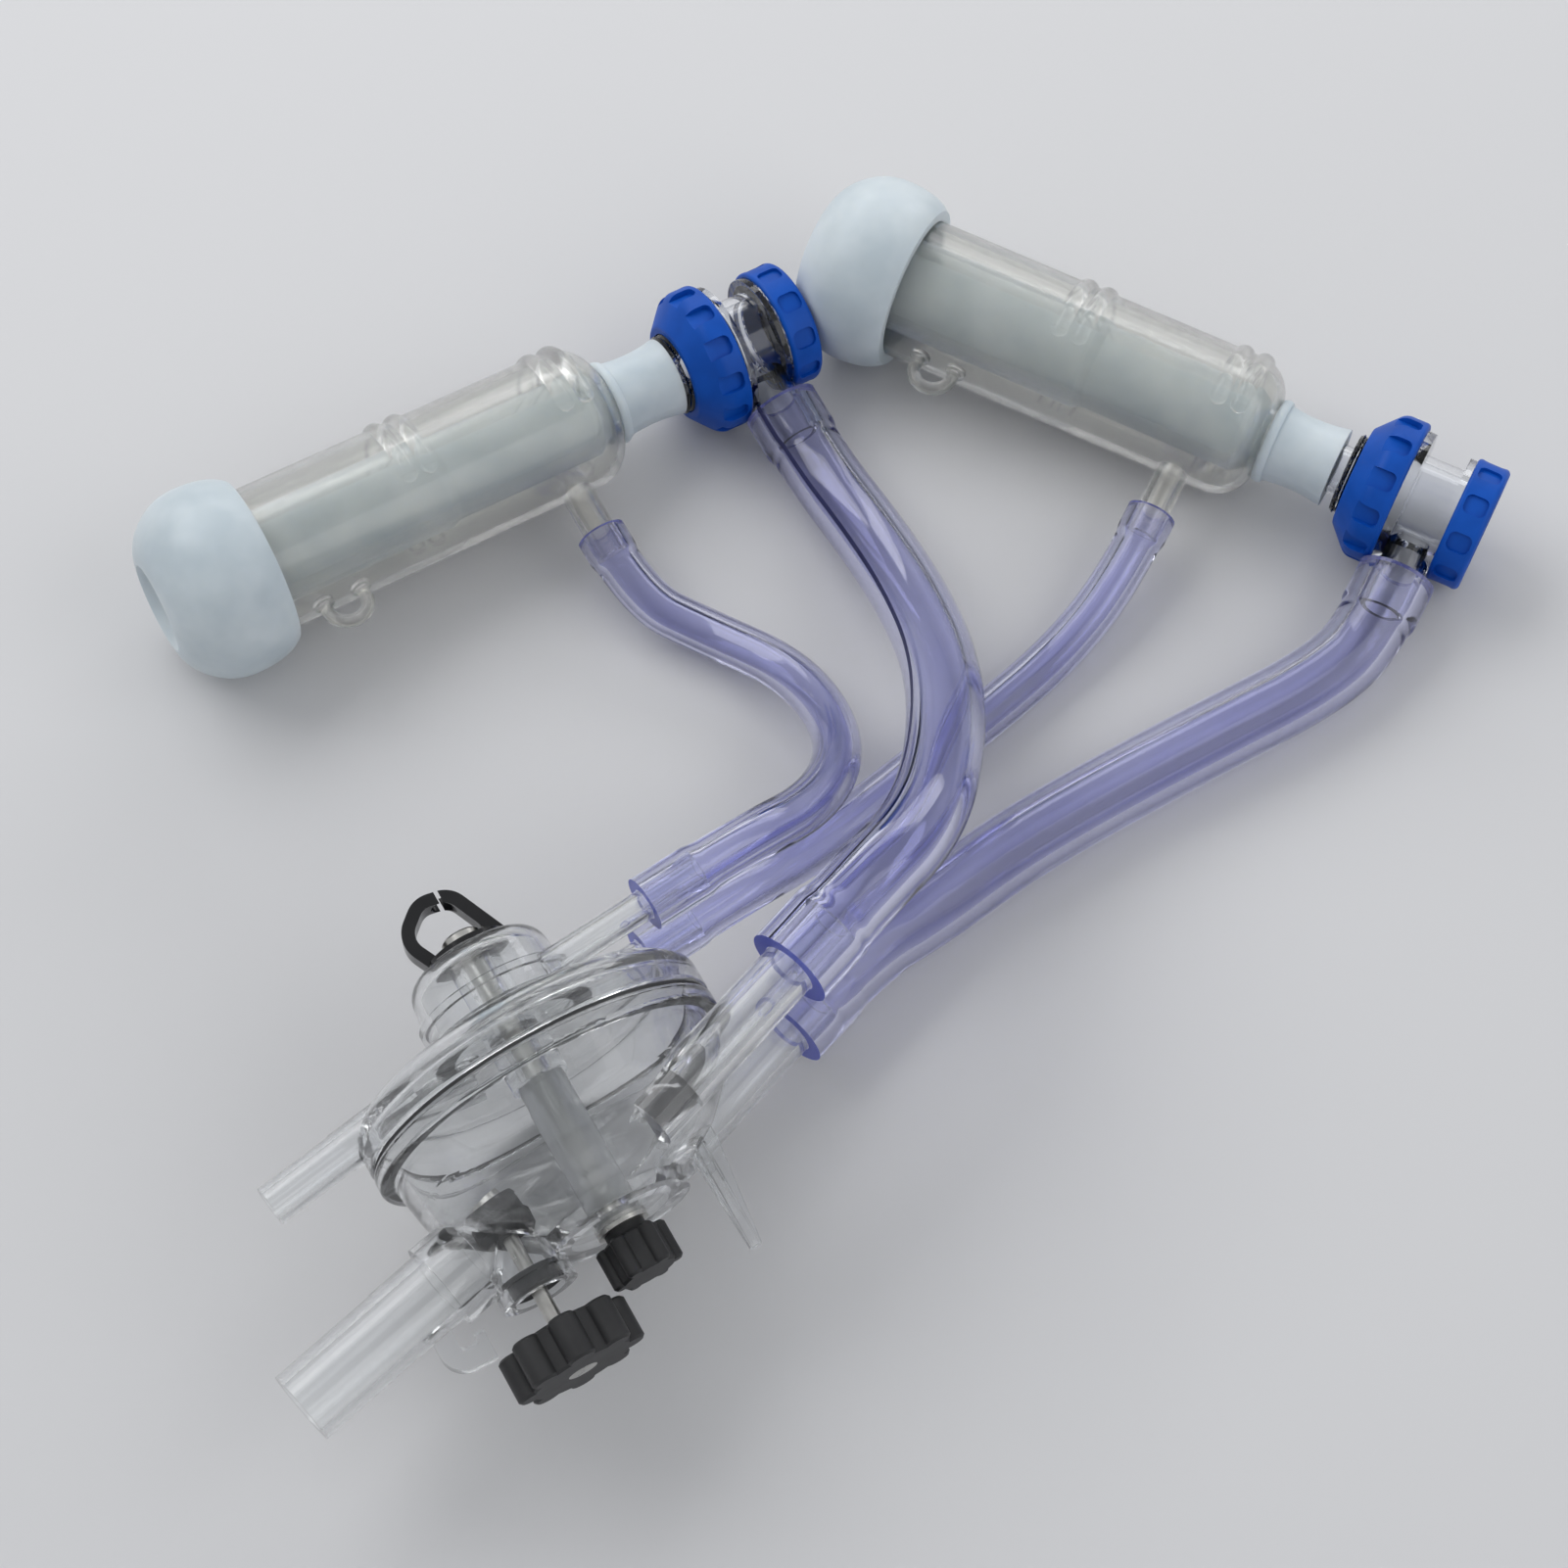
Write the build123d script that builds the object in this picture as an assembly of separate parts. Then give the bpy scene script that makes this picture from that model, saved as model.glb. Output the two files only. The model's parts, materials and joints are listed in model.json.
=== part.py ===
from build123d import *
from math import atan, cos, pi, radians, sin, sqrt, tan
import os

# A two-teat milking claw with its two teat cups, laid out on a table. All sizes are in millimetres.
# Z is up, X runs to the right and Y away from the viewer.
# Each cup and the claw are drawn in a frame of their own and then placed. A cup's frame has Z along
# its axis from the liner's head to the valve, X to the near side and Y down, with its zero at the
# seam between head and shell. The claw's frame has Z along its axis towards the hanging hook,
# X towards the milk inlets and Y down, with its zero on the axis just above the bowl's rim.

# How a cylinder sits on its zero
standing = (Align.CENTER, Align.CENTER, Align.MIN)
hanging = (Align.CENTER, Align.CENTER, Align.MAX)

# Fits
running_fit = 0.05
loose_fit = 0.3

hose_stop = 0.2

# Cup shell
shell_radius = 22.0
shell_wall = 2.2
shell_length = 129.0
shell_cover = 14.0
shoulder_radius = 12.0
rib_width = 5.2
rib_height = 1.4
rib_pitch = 6.6
rib_wrap = 220.0
first_rib_band = 49.7
second_band_from_end = 13.5
lug_place = 15.0
lug_span = 12.0
lug_rod = 4.0
lug_reach = 34.0
lug_pad = 6.4
lug_pad_height = 1.2
pulse_nipple_from_end = 21.5
pulse_nipple_radius = 5.0
pulse_nipple_bore = 3.0
pulse_nipple_reach = 45.0
pulse_nipple_droop = 12.0

# Liner
head_radius = 29.3
head_length = 33.4
head_widest = 14.5
head_lip_radius = 25.3
head_pull_a = 0.0
head_pull_b = 3.7
mouth_rim_radius = 13.6
mouth_dish = 3.2
dome_radius = 24.6
dome_depth = 6.1
mouth_radius = 10.4
mouth_lip = 2.2
chamber_radius = 20.5
chamber_roof_radius = 16.5
chamber_roof = 4.5
chamber_widest = 9.0
chamber_taper = 3.0
seat_taper = 1.5
barrel_upper_radius = 14.5
barrel_lower_radius = 13.25
barrel_wall = 2.5
barrel_step = 56.0
barrel_step_run = 3.0
barrel_taper = 7.0
neck_radius = 10.5
neck_gap = 0.4
bead_radius = 13.2
bead_crown = 0.5
bead_width = 3.0
bead_gap = 0.1
tail_shoulder_radius = 12.0
tail_waist = 9.0
tail_waist_radius = 11.3
tail_radius = 12.3
tail_length = 22.0
tail_bore = 7.75

# Automatic valve, from the end of the liner's tail
valve_shift_a = -0.4
valve_shift_b = 2.9
inlet_depth = 18.0
inlet_bore = 5.75
inlet_point = 0.8
inlet_point_length = 2.0
inlet_collar_radius = 12.0
inlet_collar_start = 0.4
inlet_mouth = 3.0
inlet_mouth_depth = 2.0
inlet_rib_root = 1.0
inlet_rib_flank = 0.8
inlet_ribs = 3
inlet_rib_start = 0.6
inlet_rib_pitch = 1.6
inlet_rib_height = 0.7
valve_ring_start = 2.9
valve_ring_bevel = 7.1
valve_ring_band = 8.0
valve_ring_radius = 22.8
valve_ring_wall = 2.4
valve_ring_gap = 0.3
valve_ring_nose = 2.2
valve_ring_seat = 4.7
ring_nose_edge = 1.4
ring_edge = 4.5
ring_edge_far = 1.2
notch_overlap = 3.5
notch_margin = 2.0
notch_corner = 0.32
ring_notches = 12
ring_notch_depth = 1.9
flange_radius = 19.4
flange_gap = 0.5
flange_thickness = 2.6
gasket_thickness = 1.4
gasket_overlap = 4.0
body_collar_radius = 20.8
body_collar = 2.7
body_radius = 14.2
body_barrel = 11.9
body_wall = 2.3
body_mouth = 3.0
cap_flange_radius = 18.2
cap_flange = 2.2
cap_thread_radius = 16.2
cap_thread = 5.4
cap_ring_radius = 19.3
cap_ring_lip = 1.7
cap_ring_hold = 3.2
cap_ring_edge = 1.0
cap_ring_edge_far = 1.6
cap_notch_margin = 1.6
cap_notches = 10
cap_notch_depth = 1.2
diaphragm_thickness = 1.3
diaphragm_button = 6.0
diaphragm_button_root = 7.5
diaphragm_button_height = 2.5
cap_plate = 1.8
cap_crown_inset = 3.5
cap_crown_taper = 1.0
cap_crown = 1.2
milk_nipple_place = 6.6
milk_nipple_radius = 7.25
milk_nipple_bore = 5.2
milk_nipple_reach = 36.0
milk_nipple_droop = 14.0
milk_cuff_from_axis = 23.7

# Claw bowl and cover
rim_lip = 3.5
rim_edge = 1.2
rim_thickness = 5.0
rim_top = -3.0
bowl_wall = 3.0
bowl_radius = 46.0
bowl_turn_inset = 2.6
bowl_turn = -22.6
bowl_turn_round = 14.0
bowl_knee_inset = 12.0
bowl_knee = -31.5
bowl_knee_round = 20.0
bowl_plate_inset = 25.0
bowl_plate_top = -39.5
bowl_plate_taper = 1.0
bowl_floor_taper = 4.0
bowl_bottom = -44.0
gasket_gap = 0.9
gasket_inset = 1.0
cover_skirt_top = 6.5
cover_rounds = {1: 1.0, 2: 4.0, 3: 6.0}
cover_cavity_rounds = {2: 2.0, 3: 4.0}
cover_knee_inset = 4.5
cover_knee = 10.5
cover_wall = 2.8
cover_neck_radius = 24.0
cover_neck = 14.5
cover_boss_radius = 8.0
pulse_inlet_root = -30.0
pulse_inlet_end = -75.3
pulse_inlet_height = 9.7
pulse_inlet_anchor = -37.9
pulse_inlet_slope = 9.6
pulse_inlet_radius = 5.5
pulse_inlet_straight = 22.0
pulse_inlet_draft = 0.4
pulse_inlet_bore = 4.0
pulse_duct_depth = 6.3
pulse_riser_place = -14.0
pulse_riser_bore = 3.4

# Claw inlets and outlet
inlet_from_wall = 15.0
inlet_anchor = 66.0
inlet_height = -13.2
inlet_slope = 19.4
inlet_root = 14.0
inlet_bore_root = 26.0
inlet_end = 79.5
inlet_radius = 7.45
inlet_inner = 5.0
inlet_cuff_place_a = 64.8
inlet_cuff_place_b = 69.5
outlet_from_wall = 3.3
outlet_root_height = -34.6
outlet_end = -91.2
outlet_slope = 13.2
outlet_radius = 9.95
outlet_straight = 30.0
outlet_draft = 0.4
outlet_bore = 7.25
outlet_collar_radius = 12.0
outlet_collar = 5.0
outlet_collar_overlap = 6.0
drip_hook_from_root = 10.3
drip_hook_low = -55.8
drip_hook_reach = 8.5
drip_hook_lip_lift = 1.0
drip_hook_lip_height = 7.8
drip_hook_turn = 4.0
drip_hook_band = 5.6
drip_hook_width = 4.6
drip_hook_lip = 2.6

# Foot spike
spike_top = -30.0
spike_sink = 4.0
spike_straight = 6.0
spike_from_knee = 1.6
spike_root = 8.4
spike_tip = -65.7
spike_tip_from_knee = 5.4
spike_tip_width = 3.2
spike_web = 2.6
spike_cross = 10.8

# Pulse chamber and hook
chamber_base = 15.6
chamber_flange_radius = 23.4
chamber_flange = 2.4
chamber_neck_radius = 20.0
chamber_collar = 24.4
chamber_collar_half = 1.0
chamber_collar_lip = 1.2
chamber_dome_radius = 20.5
chamber_dome_taper = 1.5
chamber_dome_round = 6.0
chamber_cavity_taper = 1.0
chamber_cavity_round = 4.5
chamber_post_gap = 1.0
chamber_top = 38.0
chamber_wall = 2.4
seal_inset = 0.6
claw_pulse_offset = 19.0
claw_pulse_anchor = 42.0
claw_pulse_height = 22.7
claw_pulse_slope = 5.5
claw_pulse_root = 13.0
claw_pulse_end = 60.0
claw_pulse_radius = 4.2
claw_pulse_bore = 2.6
claw_pulse_cuff_place = 43.6
hook_base_radius = 11.0
hook_base = 2.6
hook_near_foot = -9.0
hook_near_side = -13.8
hook_shoulder = 49.5
hook_peak_start = -5.5
hook_peak = 57.0
hook_peak_drop = 1.5
hook_peak_end = 3.0
hook_far_foot = 10.0
hook_turns = (7.0, 6.0, 6.0)
hook_band = 6.0
hook_rod = 3.6

# Centre column and clamp
sleeve_radius = 6.5
sleeve_top = 0.0
bolt_radius = 3.0
bolt_head_radius = 5.4
bolt_head = 4.0
bolt_head_edge = 0.6
bolt_end_cover = 3.0
washer_radius = 7.2
washer_thickness = 1.2
clamp_knob_radius = 9.9
clamp_knob_neck_radius = 5.6
clamp_knob_neck = 2.6
clamp_knob_length = 13.6
clamp_knob_lobes = 6
knob_waist = 0.8
knob_lobe = 1.1
knob_edge = 0.7

# Shut-off
stem_from_knee = 7.6
stem_radius = 2.1
stem_head = 2.0
stem_head_taper = 0.6
stem_head_height = 1.6
stem_boss_radius = 10.5
stem_boss_top = -34.0
stem_boss_bottom = -50.0
stem_boss_step = -45.5
stem_boss_mouth = 7.0
plunger_radius = 8.0
plunger_top = -25.5
plunger_length = 8.0
plunger_edge = 2.0
plunger_bevel = 1.5
seal_depth = 3.0
seal_flange = 1.4
star_knob_radius = 17.8
star_knob_length = 12.0
star_knob_gap = 10.0
star_knob_lobes = 8
star_insert_radius = 4.0
star_insert = 3.0

# Tubes
milk_tube_radius = 11.0
milk_tube_bore = 7.0
milk_cuff_radius = 11.8
milk_cuff_at_valve = 12.5
milk_cuff_at_claw = 17.0
pulse_tube_radius = 7.0
pulse_tube_bore = 4.0
pulse_cuff_radius = 7.6
pulse_cuff_at_shell = 7.0
pulse_cuff_at_claw = 16.0
tube_arc_share = 0.45
pulse_cuff_from_axis = 37.0
milk_first_run = 22.0
milk_last_run = 30.0
pulse_first_run = 24.0
pulse_last_run = 31.0
milk_route_a = [(13, 82, 16), (25, 52, 27), (32, 20, 42), (31, -14, 57), (24, -44, 71)]
milk_route_b = [(143, 34, 11), (113, 17, 11), (82, -1, 11), (52, -20, 11), (28, -40, 12)]
pulse_route_a = [(-37, 54, 8), (-9, 36, 14), (4, 4, 30), (-3, -27, 52)]
pulse_route_b = [(69, 47, 7), (47, 26, 7), (23, 5, 8), (-5, -23, 15)]

# Places on the table
cup_a_tail = (-49.01, 135.65)
cup_a_heading = 30.9
cup_b_seam = (30.57, 163.74)
cup_b_heading = -26.9
claw_place = (-76.51, -107.62)
claw_turn = 30.3
claw_dip = 6.6

# Values that follow from those above
shell_end = shell_length - shell_cover
tail_end = shell_end + tail_length
second_rib_band = shell_end - second_band_from_end
pulse_nipple_place = shell_end - pulse_nipple_from_end
barrel_end = shell_end - barrel_taper
neck_start = shell_end - shell_wall - neck_gap
band_start = valve_ring_start + valve_ring_bevel
band_end = band_start + valve_ring_band
collar_end = band_end + body_collar
barrel_far = collar_end + body_barrel
cap_flange_end = barrel_far + cap_flange
cap_thread_end = cap_flange_end + cap_thread
diaphragm_end = cap_thread_end + diaphragm_thickness
cap_end = diaphragm_end + cap_plate
rim_radius = bowl_radius + rim_lip
bowl_turn_radius = bowl_radius - bowl_turn_inset
bowl_knee_radius = bowl_radius - bowl_knee_inset
bowl_plate_radius = bowl_radius - bowl_plate_inset
cover_knee_radius = rim_radius - cover_knee_inset
inlet_offset = bowl_radius - inlet_from_wall
outlet_root = outlet_from_wall - bowl_radius
drip_hook_place = outlet_root - drip_hook_from_root
stem_place = stem_from_knee - bowl_knee_radius
bolt_hole_length = 2 * (chamber_top - bowl_bottom)
claw_height = rim_radius * cos(radians(claw_dip)) - (rim_top - rim_thickness) * sin(radians(claw_dip))


def turned(outline, rounds=None, arc=360):
    """A solid turned about Z from (radius, place) corners, each with the rounding that rounds names."""
    radii = [(rounds or {}).get(corner, 0) for corner in range(len(outline))]
    if any(radii):
        edge = FilletPolyline(*outline, radius=radii, close=True)
    else:
        edge = Polyline(*outline, close=True)
    return revolve(Plane.XZ * make_face(edge), Axis.Z, arc)


def rod(start, end, radius):
    """A round bar between two points."""
    run = Vector(end) - Vector(start)
    return Plane(origin=start, z_dir=run) * Cylinder(radius, run.length, align=standing)


def spigot(root, tip, radius, straight, draft):
    """A round pipe that is straight at its tip and, behind a low stop, widens towards its root."""
    inward = (Vector(root) - Vector(tip)).normalized()
    stop = Vector(tip) + inward * straight
    rest = Vector(root) - stop
    wide = Cone(radius + hose_stop, radius + draft, rest.length, align=standing)
    return rod(tip, stop, radius) + Plane(origin=stop, z_dir=rest) * wide


def cup_frame(known, known_place, heading, shift, pull):
    """The frame of a cup that rests on its head and on its large valve ring.

    The known spot on the table lies at the known place along the cup's axis.
    """
    ring_place = tail_end + shift + band_end
    widest = head_widest + pull
    dip = atan((head_radius - valve_ring_radius) / (ring_place + widest))
    height = head_radius * cos(dip) - widest * sin(dip)
    along = Vector(cos(dip), 0, -sin(dip)).rotate(Axis.Z, heading)
    near = Vector(0, -1, 0).rotate(Axis.Z, heading)
    back = known_place * along
    place = Vector(known[0] - back.X, known[1] - back.Y, height)
    return Plane(origin=place, x_dir=near, z_dir=along)


def claw_frame():
    """The frame of the claw, which stands on the edge of its rim."""
    inlets = Vector(1, 0, 0).rotate(Axis.Z, claw_turn)
    hook = Vector(0, cos(radians(claw_dip)), sin(radians(claw_dip))).rotate(Axis.Z, claw_turn)
    place = Vector(claw_place[0], claw_place[1], claw_height)
    return Plane(origin=place, x_dir=inlets, z_dir=hook)


def rib(place):
    """One raised rib round the shell's far side, with a round nose at each end."""
    crown = shell_radius + rib_height
    root = shell_radius - shell_wall / 2
    half = rib_width / 2
    bar = Plane.XZ * make_face(
        Polyline((root, place - half), (shell_radius, place - half))
        + ThreePointArc((shell_radius, place - half), (crown, place), (shell_radius, place + half))
        + Polyline((shell_radius, place + half), (root, place + half), (root, place - half))
    )
    ring = Rot(0, 0, 180 - rib_wrap / 2) * revolve(bar, Axis.Z, rib_wrap)
    quarter = Plane.XZ * make_face(
        Polyline((shell_radius, place + half), (root, place + half), (root, place), (crown, place))
        + ThreePointArc(
            (crown, place),
            (shell_radius + rib_height * sqrt(0.5), place + half * sqrt(0.5)),
            (shell_radius, place + half),
        )
    )
    for end, way in ((180 - rib_wrap / 2, 180), (180 + rib_wrap / 2, -180)):
        ring += Rot(0, 0, end) * revolve(quarter, Axis((0, 0, place), (1, 0, 0)), way)
    return ring


def shell():
    """Clear cup shell, open at the head, with rib bands, lug and pulse nipple in one moulding."""
    outer = turned(
        [(0, -shell_cover), (shell_radius, -shell_cover), (shell_radius, shell_end), (0, shell_end)],
        {2: shoulder_radius},
    )
    inner_radius = shell_radius - shell_wall
    inner_end = shell_end - shell_wall
    inner = turned(
        [(0, -shell_cover), (inner_radius, -shell_cover), (inner_radius, inner_end), (0, inner_end)],
        {2: shoulder_radius - shell_wall},
    )
    body = outer
    for band in (first_rib_band, second_rib_band):
        for side in (-0.5, 0.5):
            body += rib(band + side * rib_pitch)

    foot = shell_radius - shell_wall / 2
    turn = lug_span / 2 - 0.01
    tip = lug_reach - lug_rod / 2
    low = lug_place - lug_span / 2
    high = lug_place + lug_span / 2
    loop = FilletPolyline((foot, 0, low), (tip, 0, low), (tip, 0, high), (foot, 0, high), radius=turn)
    body += sweep(Plane(origin=(foot, 0, low), z_dir=(1, 0, 0)) * Circle(lug_rod / 2), loop)
    for leg in (low, high):
        body += rod((foot, 0, leg), (shell_radius + lug_pad_height, 0, leg), lug_pad / 2)

    droop = radians(pulse_nipple_droop)
    tip = (pulse_nipple_reach * cos(droop), pulse_nipple_reach * sin(droop), pulse_nipple_place)
    body += rod((0, 0, pulse_nipple_place), tip, pulse_nipple_radius)
    body -= inner
    body -= rod((0, 0, pulse_nipple_place), tip, pulse_nipple_bore)
    mouth = neck_radius + running_fit
    return body - Pos(0, 0, inner_end) * Cylinder(mouth, 3 * shell_wall)


def liner(pull):
    """Milky liner: domed head over the shell's end, barrel inside the shell, and tail.

    The head sits off its seat by the pull.
    """
    skirt = shell_radius + running_fit
    front = -head_length - pull
    barrel_upper_bore = barrel_upper_radius - barrel_wall
    barrel_lower_bore = barrel_lower_radius - barrel_wall
    step_end = barrel_step + barrel_step_run
    bead_start = shell_end + bead_gap
    bead_end = shell_end + bead_width
    bead = (bead_start + bead_end) / 2
    bead_foot = bead_radius - bead_crown
    roof = front + chamber_roof
    shoulder = (chamber_radius - chamber_taper, -shell_cover - chamber_taper)
    outline = (
        Polyline((mouth_radius, front + mouth_dish), (mouth_rim_radius, front))
        + Spline(
            (mouth_rim_radius, front),
            (dome_radius, front + dome_depth),
            (head_radius, -head_widest - pull),
            tangents=((1, 0.1), (0, 1)),
        )
        + Spline(
            (head_radius, -head_widest - pull),
            (head_lip_radius, -pull),
            tangents=((0, 1), (-0.9, 1)),
        )
        + Polyline(
            (head_lip_radius, -pull),
            (skirt, -pull),
            (skirt, -shell_cover),
            (barrel_upper_radius + seat_taper, -shell_cover),
            (barrel_upper_radius, 2 * seat_taper - shell_cover),
            (barrel_upper_radius, barrel_step),
            (barrel_lower_radius, step_end),
            (barrel_lower_radius, barrel_end),
            (neck_radius, neck_start),
            (neck_radius, bead_start),
            (bead_foot, bead_start),
        )
        + ThreePointArc((bead_foot, bead_start), (bead_radius, bead), (bead_foot, bead_end))
        + Polyline((bead_foot, bead_end), (tail_shoulder_radius, bead_end))
        + Spline(
            (tail_shoulder_radius, bead_end),
            (tail_waist_radius, shell_end + tail_waist),
            (tail_radius, tail_end),
        )
        + Polyline(
            (tail_radius, tail_end),
            (tail_bore, tail_end),
            (tail_bore, shell_end),
            (barrel_lower_bore, barrel_end),
            (barrel_lower_bore, step_end),
            (barrel_upper_bore, barrel_step),
            (barrel_upper_bore, 2 * chamber_taper - shell_cover),
            shoulder,
        )
        + ThreePointArc(shoulder, (chamber_radius, -shell_cover - chamber_widest), (chamber_roof_radius, roof))
        + Polyline(
            (chamber_roof_radius, roof),
            (mouth_radius, front + mouth_dish + mouth_lip),
            (mouth_radius, front + mouth_dish),
        )
    )
    return revolve(Plane.XZ * make_face(outline), Axis.Z)


def valve_inlet():
    """Clear nipple that the tail is pushed on, with the flange that the large ring clamps."""
    nipple = tail_bore - running_fit
    flange = band_start
    body = turned(
        [
            (inlet_bore, -inlet_depth),
            (nipple - inlet_point, -inlet_depth),
            (nipple, inlet_point_length - inlet_depth),
            (nipple, inlet_collar_start),
            (inlet_collar_radius, inlet_collar_start),
            (inlet_collar_radius, flange),
            (flange_radius - flange_gap, flange),
            (flange_radius - flange_gap, flange + flange_thickness),
            (inlet_bore + inlet_mouth, flange + flange_thickness),
            (inlet_bore, flange - inlet_mouth_depth),
        ]
    )
    for turn in range(inlet_ribs):
        place = inlet_rib_start + turn * inlet_rib_pitch
        crest = place + inlet_rib_pitch / 2
        foot = place + inlet_rib_flank * inlet_rib_pitch
        body += turned(
            [
                (inlet_bore + inlet_rib_root, place),
                (inlet_collar_radius, place),
                (inlet_collar_radius + inlet_rib_height, crest),
                (inlet_collar_radius, foot),
                (inlet_bore + inlet_rib_root, foot),
            ]
        )
    return body


def valve_gasket():
    start = band_start + flange_thickness
    return turned(
        [
            (body_radius - gasket_overlap, start),
            (flange_radius - flange_gap, start),
            (flange_radius - flange_gap, start + gasket_thickness),
            (body_radius - gasket_overlap, start + gasket_thickness),
        ]
    )


def notches(radius, depth, low, high, count):
    """Rounded finger recesses round a grip ring."""
    width = pi * radius / count
    block = Box(2 * depth, width, high - low, align=standing)
    block = fillet(block.edges().filter_by(Axis.X), min(width, high - low) * notch_corner)
    return [Rot(0, 0, 360 * turn / count) * Pos(radius, 0, low) * block for turn in range(count)]


def valve_ring():
    """Large blue grip ring: a bevelled nut with finger recesses, open towards the valve body."""
    bore = flange_radius + running_fit
    hole = inlet_collar_radius + inlet_rib_height + valve_ring_gap
    body = turned(
        [
            (hole, valve_ring_start),
            (hole + valve_ring_nose, valve_ring_start),
            (valve_ring_radius, band_start),
            (valve_ring_radius, band_end),
            (bore, band_end),
            (bore, band_start),
            (hole + valve_ring_seat, band_start),
            (hole, valve_ring_start + valve_ring_wall),
        ],
        {1: ring_nose_edge, 2: ring_edge, 3: ring_edge_far},
    )
    low = band_start - notch_overlap
    for notch in notches(valve_ring_radius, ring_notch_depth, low, band_end - notch_margin, ring_notches):
        body -= notch
    return body


def valve_body():
    """Clear body with the milk nipple, a collar at each end and threads inside the two rings."""
    start = band_start + flange_thickness + gasket_thickness
    bore = body_radius - body_wall
    body = turned(
        [
            (0, start),
            (flange_radius, start),
            (flange_radius, band_end),
            (body_collar_radius, band_end),
            (body_collar_radius, collar_end),
            (body_radius, collar_end),
            (body_radius, barrel_far),
            (cap_flange_radius, barrel_far),
            (cap_flange_radius, cap_flange_end),
            (cap_thread_radius, cap_flange_end),
            (cap_thread_radius, cap_thread_end),
            (0, cap_thread_end),
        ]
    )
    droop = radians(milk_nipple_droop)
    place = collar_end + milk_nipple_place
    tip = (milk_nipple_reach * cos(droop), milk_nipple_reach * sin(droop), place)
    body += rod((0, 0, place), tip, milk_nipple_radius)
    body -= turned(
        [
            (0, start),
            (bore + body_mouth, start),
            (bore, collar_end),
            (bore, cap_thread_end),
            (0, cap_thread_end),
        ]
    )
    return body - rod((0, 0, place), tip, milk_nipple_bore)


def diaphragm():
    """Rubber disc that shuts the valve, with a raised seat button."""
    return turned(
        [
            (0, cap_thread_end - diaphragm_button_height),
            (diaphragm_button, cap_thread_end - diaphragm_button_height),
            (diaphragm_button_root, cap_thread_end),
            (cap_thread_radius, cap_thread_end),
            (cap_thread_radius, diaphragm_end),
            (0, diaphragm_end),
        ]
    )


def valve_cap():
    """Clear end cap with a low crown."""
    crown = cap_thread_radius - cap_crown_inset
    return turned(
        [
            (0, diaphragm_end),
            (cap_thread_radius, diaphragm_end),
            (cap_thread_radius, cap_end),
            (crown, cap_end),
            (crown - cap_crown_taper, cap_end + cap_crown),
            (0, cap_end + cap_crown),
        ]
    )


def cap_ring():
    """Small blue grip ring that holds the end cap and the diaphragm."""
    bore = cap_thread_radius + running_fit
    lip = cap_thread_radius - cap_ring_hold
    start = cap_flange_end
    body = turned(
        [
            (bore, start),
            (cap_ring_radius, start),
            (cap_ring_radius, cap_end + cap_ring_lip),
            (lip, cap_end + cap_ring_lip),
            (lip, cap_end),
            (bore, cap_end),
        ],
        {1: cap_ring_edge, 2: cap_ring_edge_far},
    )
    top = cap_end + cap_ring_lip - cap_notch_margin
    for notch in notches(cap_ring_radius, cap_notch_depth, start + cap_notch_margin, top, cap_notches):
        body -= notch
    return body


def along_slope(anchor, height, slope, place):
    """Height of a sloping pipe's axis at a place along the claw's X."""
    return height + (place - anchor) * tan(radians(slope))


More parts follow.
